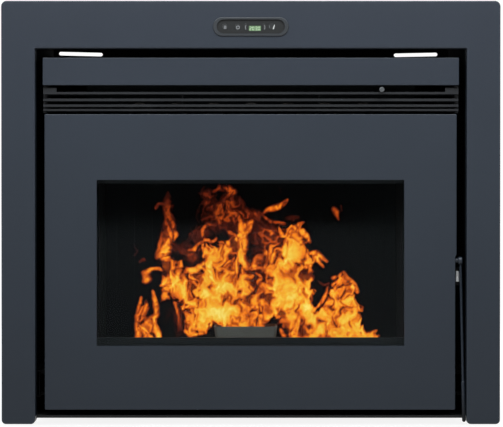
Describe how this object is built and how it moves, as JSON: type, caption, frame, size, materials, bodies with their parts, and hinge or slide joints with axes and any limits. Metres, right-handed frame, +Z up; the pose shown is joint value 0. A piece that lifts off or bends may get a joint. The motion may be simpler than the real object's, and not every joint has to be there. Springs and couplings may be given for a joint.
{
  "type": "fireplace insert",
  "caption": "Pellet-burning fireplace insert: stove body with glazed door on slide-out rails in a fixed casing, flat three-sided surround with a lit control panel.",
  "frame": {"origin": "on the floor plane under the middle of the whole insert's box (width and depth)", "axes": "+Z up, front faces -Y, +X to the right seen from the front"},
  "size_m": [0.8, 0.592, 0.679],
  "materials": {
    "anthracite_paint": "satin blue-grey anthracite powder coat with a faint metallic grain",
    "black_paint": "matt black heat-proof paint",
    "zinc_steel": "galvanised sheet",
    "raw_steel": "heat-darkened bare steel",
    "stainless": "polished stainless steel",
    "cast_iron": "fine-grained grey cast iron, dusty with ash",
    "fireboard": "soot-darkened fluted fire lining",
    "ceramic_glass": "clear ceramic glass",
    "gasket_fibre": "braided glass-fibre rope",
    "panel_plastic": "fine-grained dark plastic",
    "touch_key": "smooth grey touch key",
    "display_glass": "dark display window with lit green figures",
    "circuit": "green circuit board",
    "motor_alloy": "cast and pressed aluminium"
  },
  "bodies": {
    "casing": {"casing_base": "black_paint", "casing_panels": "black_paint", "casing_back": "black_paint", "levelling_feet": "zinc_steel", "surround_frame": "anthracite_paint", "surround_brackets": "black_paint", "control_bezel": "panel_plastic", "display_lens": "display_glass", "display_board": "circuit", "rail_outer": "black_paint"},
    "rail_middle": {"rail_middle": "black_paint"},
    "stove_body": {"rail_inner": "black_paint", "base_tray": "black_paint", "body_panels": "black_paint", "top_cover": "black_paint", "front_frame": "black_paint", "top_fascia": "anthracite_paint", "air_grille": "black_paint", "firebox_shell": "raw_steel", "hearth_plate": "cast_iron", "firebox_liner": "fireboard", "baffle_plate": "cast_iron", "igniter": "raw_steel", "pellet_chute": "zinc_steel", "hopper": "zinc_steel", "auger_housing": "zinc_steel", "auger_motor": "motor_alloy", "exchanger_tubes": "raw_steel", "smoke_box": "raw_steel", "exhaust_fan_housing": "raw_steel", "exhaust_motor": "motor_alloy", "flue_spigot": "stainless", "air_intake_pipe": "stainless", "blower_housing": "zinc_steel", "blower_motor": "motor_alloy", "control_board": "circuit", "power_inlet": "panel_plastic", "hinge_brackets": "black_paint", "catch_bracket": "black_paint"},
    "door": {"door_panel": "anthracite_paint", "door_glass": "ceramic_glass", "door_inner_frame": "black_paint", "glass_clips": "black_paint", "door_gaskets": "gasket_fibre"},
    "handle": {"handle_lever": "anthracite_paint", "latch_hook": "raw_steel"},
    "scraper": {"scraper_rod": "raw_steel", "scraper_plate": "raw_steel"},
    "hopper_lid": {"hopper_lid": "black_paint"},
    "burn_pot": {"burn_pot": "cast_iron"},
    "ash_pan": {"ash_pan": "raw_steel"},
    "auger": {"auger_screw": "raw_steel"},
    "impeller": {"exhaust_impeller": "raw_steel"},
    "blower_wheel": {"blower_wheel": "motor_alloy"},
    "power_switch": {"power_switch": "panel_plastic"},
    "button_menu": {"button_menu": "touch_key"},
    "button_power": {"button_power": "touch_key"},
    "button_minus": {"button_minus": "touch_key"},
    "button_plus": {"button_plus": "touch_key"},
    "button_mode": {"button_mode": "touch_key"}
  },
  "joints": [
    {"name": "rail_slide", "type": "slide", "parent": "casing", "child": "rail_middle", "axis": [0, -1, 0], "range_m": [0, 0.2]},
    {"name": "body_slide", "type": "slide", "parent": "casing", "child": "stove_body", "axis": [0, -1, 0], "range_m": [0, 0.4]},
    {"name": "door_hinge", "type": "hinge", "parent": "stove_body", "child": "door", "pos_m": [-0.318, -0.272, 0.26], "axis": [0, 0, -1], "range_deg": [0, 105]},
    {"name": "handle_turn", "type": "hinge", "parent": "door", "child": "handle", "pos_m": [0.315, -0.273, 0.262], "axis": [-1, 0, 0], "range_deg": [0, 45]},
    {"name": "scraper_pull", "type": "slide", "parent": "stove_body", "child": "scraper", "axis": [0, -1, 0], "range_m": [0, 0.06]},
    {"name": "hopper_lid_slide", "type": "slide", "parent": "stove_body", "child": "hopper_lid", "axis": [1, 0, 0], "range_m": [0, 0.17]},
    {"name": "burn_pot_lift", "type": "slide", "parent": "stove_body", "child": "burn_pot", "axis": [0, 0, 1], "range_m": [0, 0.05]},
    {"name": "ash_pan_draw", "type": "slide", "parent": "stove_body", "child": "ash_pan", "axis": [0, -1, 0], "range_m": [0, 0.028]},
    {"name": "auger_turn", "type": "hinge", "parent": "stove_body", "child": "auger", "pos_m": [0.05, 0.106, 0.33], "axis": [1, 0, 0], "continuous": true},
    {"name": "impeller_turn", "type": "hinge", "parent": "stove_body", "child": "impeller", "pos_m": [-0.17, 0.101, 0.12], "axis": [1, 0, 0], "continuous": true},
    {"name": "blower_turn", "type": "hinge", "parent": "stove_body", "child": "blower_wheel", "pos_m": [0.155, 0.106, 0.1], "axis": [1, 0, 0], "continuous": true},
    {"name": "switch_rock", "type": "hinge", "parent": "stove_body", "child": "power_switch", "pos_m": [0.27, 0.202, 0.116], "axis": [1, 0, 0], "range_deg": [0, 14]},
    {"name": "press_menu", "type": "slide", "parent": "casing", "child": "button_menu", "axis": [0, 1, 0], "range_m": [0, 0.0008], "stiffness_N_per_m": 600, "springref_m": -0.001},
    {"name": "press_power", "type": "slide", "parent": "casing", "child": "button_power", "axis": [0, 1, 0], "range_m": [0, 0.0008], "stiffness_N_per_m": 600, "springref_m": -0.001},
    {"name": "press_minus", "type": "slide", "parent": "casing", "child": "button_minus", "axis": [0, 1, 0], "range_m": [0, 0.0008], "stiffness_N_per_m": 600, "springref_m": -0.001},
    {"name": "press_plus", "type": "slide", "parent": "casing", "child": "button_plus", "axis": [0, 1, 0], "range_m": [0, 0.0008], "stiffness_N_per_m": 600, "springref_m": -0.001},
    {"name": "press_mode", "type": "slide", "parent": "casing", "child": "button_mode", "axis": [0, 1, 0], "range_m": [0, 0.0008], "stiffness_N_per_m": 600, "springref_m": -0.001}
  ],
  "couplings": [
    {"joint": "rail_slide", "follows": "body_slide", "ratio": 0.5}
  ]
}
